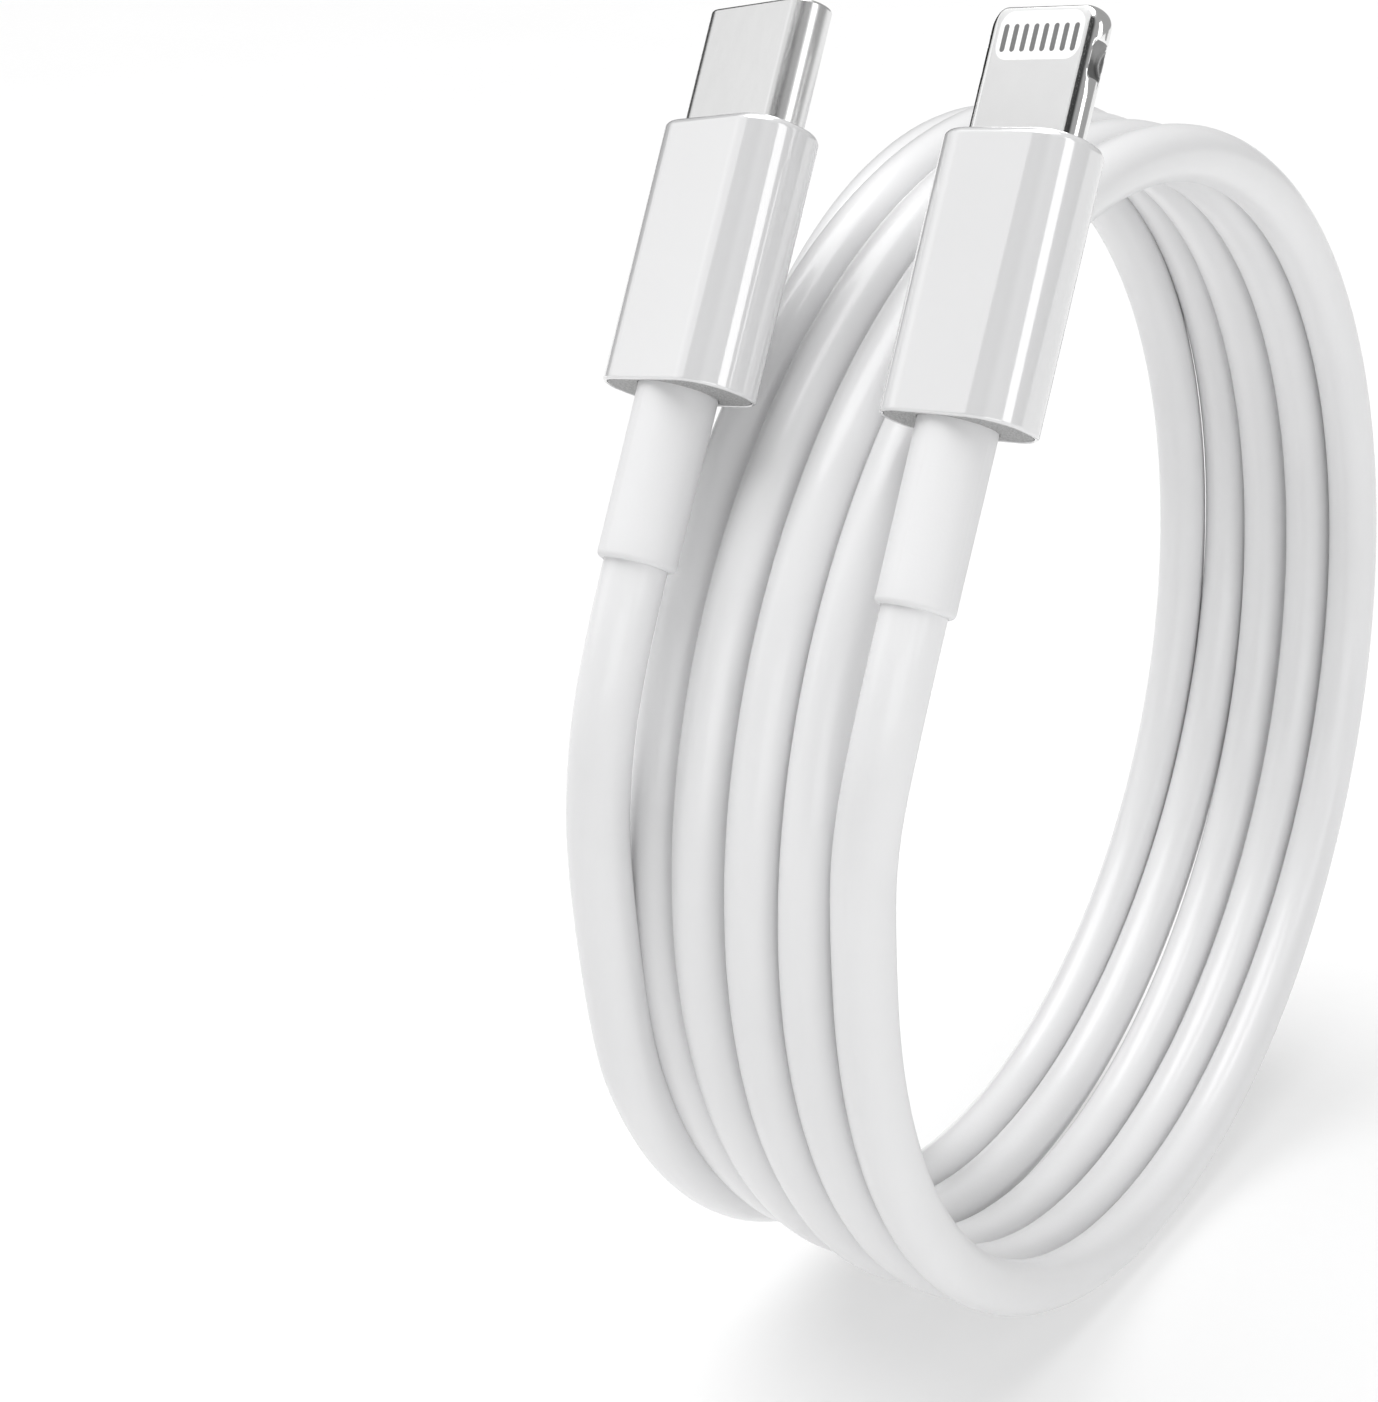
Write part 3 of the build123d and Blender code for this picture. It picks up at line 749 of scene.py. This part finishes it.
@dataclass
class ShellInsert:
    """Seamless drawn shell of the charger plug. Sizes in millimetres."""

    width: float = 8.25
    thickness: float = 2.4
    wall: float = 0.25
    reach: float = 6.3
    root: float = -2.4
    lip: float = 0.16
    inner_lip: float = 0.08

    def build(self, place: Matrix, paint: Paint) -> bpy.types.Object:
        """Make the shell as one wall with a rolled lip at its mouth.

        Args:
            place: Plug frame.
            paint: Made materials.

        Returns:
            The shell.
        """
        shell = RingMesh("charger_plug_drawn_shell", place)
        self._wall(shell, 0.0, self.root)
        self._wall(shell, 0.0, 0.5)
        for angle in arc_steps(6):
            self._wall(shell, self.lip * (1 - math.cos(angle)), self.reach - self.lip * (1 - math.sin(angle)))
        for angle in arc_steps(4):
            inner = self.wall - self.inner_lip * (1 - math.sin(angle))
            self._wall(shell, inner, self.reach - self.inner_lip * (1 - math.cos(angle)))
        self._wall(shell, self.wall, self.root)
        piece = shell.build(closed=True, sharp=50.0)
        paint.dress(piece, "shell_steel")
        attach(piece, CABLE)
        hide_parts("charger_plug_shell")
        LOG.info("piece %s", piece.name)
        return piece

    def _wall(self, mesh: RingMesh, inset: float, height: float) -> None:
        """Add the shell's outline, drawn in by some amount.

        Args:
            mesh: Mesh that gets the ring.
            inset: Distance inside the outer face.
            height: Place along the plug.
        """
        thick = self.thickness - 2 * inset
        mesh.level(rounded_outline(self.width - 2 * inset, thick, thick / 2), height)


# ---------------------------------------------------------------- cord
@dataclass
class Cord:
    """The whole cord: phone lead, wound turns, the return behind them and the charger lead."""

    diameter: float = 3.25
    length: float = 1170.0
    front_y: float = -12.1
    lead_radius: float = 35.1
    climb_radius: float = 32.8
    lead_y: float = 3.1
    lead_run: float = 5.6
    lead_drop: float = 5.6
    points_per_turn: int = 36
    half_turn_radii: tuple[float, ...] = (33.9, 33.6, 33.7, 34.0, 33.6, 34.6, 33.1, 35.1, 32.0, 34.0, 22.0)
    half_turn_depths: tuple[float, ...] = (-12.1, -10.4, -8.8, -7.0, -5.5, -3.5, -1.9, -0.2, 1.7, 2.9, 5.4)
    return_from: float = 0.42
    turned_back: float = 62.0
    bend_swell: float = 1.12
    bend_reach: float = 1.5
    floor_reach: float = 35.725
    side_slack: tuple[float, ...] = (0.0, 0.0, 0.0, -0.3, 0.0, 0.0, 0.0, 1.6, -0.4, 0.0, 0.0)

    def centre(self) -> Vector:
        """Middle of the coil, from the CAD coil's box.

        Returns:
            The coil's centre at depth 0, in metres.
        """
        low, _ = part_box("cord_coil")
        left = (self.lead_radius + self.diameter / 2) * MM
        front = (self.diameter / 2 - self.front_y) * MM
        return Vector((low.x + left, low.y + front, low.z + self.floor_reach * MM))

    def spot(self, turn: float, radius: float, depth: float, slack: float = 0.0) -> Vector:
        """A point of the winding; turns are counted from the left side, downwards.

        Args:
            turn: Angle along the winding, in radians.
            radius: Distance from the coil's axis.
            depth: Place along the coil's axis.
            slack: Height that this stretch stands off the circle.

        Returns:
            The point, in millimetres from the coil's centre.
        """
        return Vector((-radius * math.cos(turn), depth, slack - radius * math.sin(turn)))

    def winding(self) -> list[Vector]:
        """The wound turns and the return strand, whose size changes from one half turn to the next.

        Returns:
            Points in millimetres from the coil's centre.
        """
        step = 2 * math.pi / self.points_per_turn
        swell = 1 / math.cos(step / 2)
        last_half = len(self.half_turn_radii) - 2
        last = (last_half + 1) * math.pi + math.radians(self.turned_back)
        points = []
        turn = 0.0
        while turn < last:
            half = min(int(turn / math.pi), last_half)
            share = min(turn / math.pi - half, 1.0)
            if half == last_half:
                share = max(0.0, (share - self.return_from) / (1 - self.return_from))
            ease = (1 - math.cos(math.pi * share)) / 2
            radius = self._between(self.half_turn_radii, half, ease)
            depth = self._between(self.half_turn_depths, half, share)
            slack = self._between(self.side_slack, half, ease)
            points.append(self.spot(turn, radius * swell, depth, slack))
            turn += step
        return points

    @staticmethod
    def _between(values: tuple[float, ...], index: int, share: float) -> float:
        """Value between two neighbours of a row.

        Args:
            values: One value for each half turn.
            index: First of the two.
            share: 0 at the first and 1 at the second.

        Returns:
            The value.
        """
        return values[index] + (values[index + 1] - values[index]) * share

    def turn_back(self) -> list[Vector]:
        """Hairpin behind the turns, and the outer strand that climbs to the charger lead.

        Returns:
            Points in millimetres from the coil's centre.
        """
        start = math.radians(self.turned_back)
        inner, deep = self.half_turn_radii[-1], self.half_turn_depths[-1]
        middle = (inner + self.climb_radius) / 2
        bend = (self.climb_radius - inner) / 2 * self.bend_swell
        along = Vector((math.sin(start), 0, -math.cos(start)))
        points = []
        for degrees in (30, 70, 110, 150):
            angle = math.radians(degrees)
            base = self.spot(start, middle - bend * math.cos(angle), deep)
            points.append(base + along * (bend * math.sin(angle) + self.bend_reach))
        for degrees in range(56, 12, -8):
            share = degrees / self.turned_back
            depth = self.lead_y + (deep - self.lead_y) * share
            radius = self.lead_radius + (self.climb_radius - self.lead_radius) * share + 0.1
            points.append(self.spot(math.radians(degrees), radius, depth))
        return points

    def build(self, phone: Plug, charger: Plug, record: dict, paint: Paint) -> bpy.types.Object:
        """Lay the cord as one smooth curve from boot to boot.

        Args:
            phone: Plug at the near end.
            charger: Plug at the far end.
            record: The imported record.
            paint: Made materials.

        Returns:
            The cord.
        """
        centre = self.centre()
        start, heading = self._boot_end(phone, record)
        finish, back = self._boot_end(charger, record)
        coil_start = self.spot(0.0, self.half_turn_radii[0], self.front_y)
        coil_finish = self.spot(0.0, self.lead_radius, self.lead_y)
        drop = Vector((0, 0, self.lead_drop))
        route = [start, start + heading * self.lead_run * MM, centre + (coil_start + drop) * MM]
        route += [centre + point * MM for point in self.winding()]
        route += [centre + point * MM for point in self.turn_back()]
        route += [centre + coil_finish * MM, centre + (coil_finish + drop) * MM]
        route += [finish + back * self.lead_run * MM, finish]
        curve = bpy.data.curves.new("cord_curve", "CURVE")
        curve.dimensions = "3D"
        curve.resolution_u = 6
        curve.bevel_depth = self.diameter / 2 * MM
        curve.bevel_resolution = 10
        curve.use_fill_caps = True
        spline = curve.splines.new("NURBS")
        spline.points.add(len(route) - 1)
        for point, place in zip(spline.points, route):
            point.co = (*place, 1.0)
        spline.order_u = 3
        spline.use_endpoint_u = True
        spline.use_smooth = True
        piece = bpy.data.objects.new("cord", curve)
        bpy.context.scene.collection.objects.link(piece)
        paint.dress(piece, "cord")
        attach(piece, CABLE)
        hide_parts("cord_coil", "cord_phone_lead", "cord_charger_lead")
        LOG.info("piece %s with %d route points", piece.name, len(route))
        return piece

    @staticmethod
    def _boot_end(plug: Plug, record: dict) -> tuple[Vector, Vector]:
        """Where the cord leaves a boot, and its heading there.

        Args:
            plug: The plug.
            record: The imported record.

        Returns:
            The point in metres and the unit heading.
        """
        place = plug.frame(record)
        end = place @ Vector((0, 0, -plug.length - plug.boot_length))
        face = place @ Vector((0, 0, 0))
        return end, (end - face).normalized()


# ---------------------------------------------------------------- studio
@dataclass
class SoftBox:
    """Soft rectangular lamp; places are in metres from the object's middle."""

    name: str
    place: Colour
    size: Point2
    power: float

    def build(self, middle: Vector) -> None:
        """Hang the lamp, facing the object.

        Args:
            middle: The object's middle.
        """
        lamp = bpy.data.lights.new(self.name, "AREA")
        lamp.shape = "RECTANGLE"
        lamp.size, lamp.size_y = self.size
        lamp.energy = self.power
        box = bpy.data.objects.new(self.name, lamp)
        bpy.context.scene.collection.objects.link(box)
        box.location = middle + Vector(self.place)
        box.rotation_euler = (-Vector(self.place)).to_track_quat("-Z", "Y").to_euler()


@dataclass
class Studio:
    """Floor, lamps, surrounding light and camera."""

    floor_size: float = 6.0
    surround: float = 0.40
    corner_edge: Point2 = (0.76, 0.90)
    corner_tone: float = 0.08
    dark_corners: tuple[Colour, ...] = ((-0.66, 0.36, 0.65), (0.42, 0.88, 0.16))
    sky_strength: float = 3.0
    sky_angle: float = 60.0
    sky_from: Colour = (-0.1, 0.22, 1.0)
    azimuth: float = -60.39
    elevation: float = 21.29
    camera_from_coil: Colour = (-0.13025, -0.07311, 0.05783)
    lens: float = 66.53
    shift_x: float = -0.16
    look_left: float = 1.37
    boxes: list[SoftBox] = field(default_factory=lambda: [
        SoftBox("left_rear_box", (-0.16, 0.42, 0.24), (0.42, 0.42), 0.42),
        SoftBox("front_box", (-0.42, -0.26, 0.06), (0.35, 0.25), 0.45),
        SoftBox("right_strip", (-0.12, -0.38, 0.20), (0.15, 0.34), 0.30),
    ])

    def build(self, centre: Vector, paint: Paint) -> None:
        """Set up the floor, the light and the camera.

        Args:
            centre: The coil's centre.
            paint: Made materials.
        """
        self._build_floor(paint)
        self._build_light()
        low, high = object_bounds()
        for box in self.boxes:
            box.build((low + high) / 2)
        self._build_camera(centre)

    def _build_floor(self, paint: Paint) -> None:
        """Lay a plain pale floor under the cable.

        Args:
            paint: Made materials.
        """
        half = self.floor_size / 2
        mesh = bpy.data.meshes.new("floor")
        corners = [(-half, -half, 0), (half, -half, 0), (half, half, 0), (-half, half, 0)]
        mesh.from_pydata(corners, [], [(0, 1, 2, 3)])
        floor = bpy.data.objects.new("floor", mesh)
        bpy.context.scene.collection.objects.link(floor)
        paint.dress(floor, "floor")
        floor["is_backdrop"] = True

    def _build_light(self) -> None:
        """Pale surrounding light and one broad, soft light from above."""
        scene = bpy.context.scene
        scene.view_settings.view_transform = "Standard"
        world = bpy.data.worlds.new("studio_room")
        world.use_nodes = True
        background = world.node_tree.nodes["Background"]
        background.inputs["Strength"].default_value = self.surround
        self._paint_room(world.node_tree, background)
        scene.world = world
        lamp = bpy.data.lights.new("broad_light", "SUN")
        lamp.energy = self.sky_strength
        lamp.angle = math.radians(self.sky_angle)
        sky = bpy.data.objects.new("broad_light", lamp)
        scene.collection.objects.link(sky)
        sky.rotation_euler = (-Vector(self.sky_from)).to_track_quat("-Z", "Y").to_euler()

    def _paint_room(self, tree: bpy.types.NodeTree, background: bpy.types.Node) -> None:
        """Paint the room white, with a dark corner in each of two directions.

        Args:
            tree: The world's node tree.
            background: Node that gives the light.
        """
        where = tree.nodes.new("ShaderNodeTexCoord")
        shade = None
        for corner in self.dark_corners:
            facing = tree.nodes.new("ShaderNodeVectorMath")
            facing.operation = "DOT_PRODUCT"
            facing.inputs[1].default_value = Vector(corner).normalized()
            tree.links.new(where.outputs["Generated"], facing.inputs[0])
            ramp = tree.nodes.new("ShaderNodeValToRGB")
            ramp.color_ramp.elements[0].position, ramp.color_ramp.elements[1].position = self.corner_edge
            ramp.color_ramp.elements[0].color = (1.0, 1.0, 1.0, 1.0)
            ramp.color_ramp.elements[1].color = (self.corner_tone, self.corner_tone, self.corner_tone, 1.0)
            tree.links.new(facing.outputs["Value"], ramp.inputs["Fac"])
            if shade is None:
                shade = ramp.outputs["Color"]
                continue
            both = tree.nodes.new("ShaderNodeMixRGB")
            both.blend_type = "MULTIPLY"
            both.inputs["Fac"].default_value = 1.0
            tree.links.new(shade, both.inputs["Color1"])
            tree.links.new(ramp.outputs["Color"], both.inputs["Color2"])
            shade = both.outputs["Color"]
        tree.links.new(shade, background.inputs["Color"])

    def _build_camera(self, centre: Vector) -> None:
        """Stand the camera in front of the coil's left side, looking down on it.

        Args:
            centre: The coil's centre.
        """
        lens = bpy.data.cameras.new("camera")
        lens.lens = self.lens
        lens.sensor_width = 36.0
        lens.shift_x = self.shift_x
        lens.clip_start = 0.005
        camera = bpy.data.objects.new("camera", lens)
        bpy.context.scene.collection.objects.link(camera)
        side, rise = math.radians(self.azimuth), math.radians(self.elevation)
        back = Vector((math.sin(side) * math.cos(rise), -math.cos(side) * math.cos(rise), math.sin(rise)))
        facing = (-back).to_track_quat("-Z", "Y").to_matrix()
        turn = Matrix.Rotation(math.radians(self.look_left), 3, "Y")
        camera.rotation_euler = (facing @ turn).to_euler()
        camera.location = centre + Vector(self.camera_from_coil)
        bpy.context.scene.camera = camera


# ---------------------------------------------------------------- assembly
def dress_cad_nodes(frame: dict, paint: Paint) -> None:
    """Give every CAD node the finish of its slot.

    Args:
        frame: The loaded frame.
        paint: Made materials.
    """
    for part in frame["record"]["subparts"]:
        paint.dress(frame["nodes"][part["node"]], part["material_slot"])
        LOG.info("node %s in %s", part["node"], part["material_slot"])


def main() -> None:
    """Build the scene."""
    logging.basicConfig(level=logging.INFO, format="%(message)s")
    for leftover in list(bpy.data.objects):
        bpy.data.objects.remove(leftover)
    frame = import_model()
    record = frame["record"]
    paint = Paint()
    dress_cad_nodes(frame, paint)
    phone = Plug("phone_plug", 8.3, 14.0, 4.0, 9.0, (6.7, 1.5), "phone_plug_tab", "phone_plug_shoulder")
    charger = Plug("charger_plug", 9.4, 13.7, 4.1, 8.9, (8.25, 2.4),
                   "charger_plug_shell", "charger_plug_shoulder")
    for plug in (phone, charger):
        place = plug.frame(record)
        plug.build_body(place, paint)
        plug.build_plate(place, paint)
        plug.build_boot(place, paint)
    TabInsert().build(phone.frame(record), paint)
    ShellInsert().build(charger.frame(record), paint)
    cord = Cord()
    cord.build(phone, charger, record, paint)
    Studio().build(cord.centre(), paint)


if __name__ == "__main__":
    main()
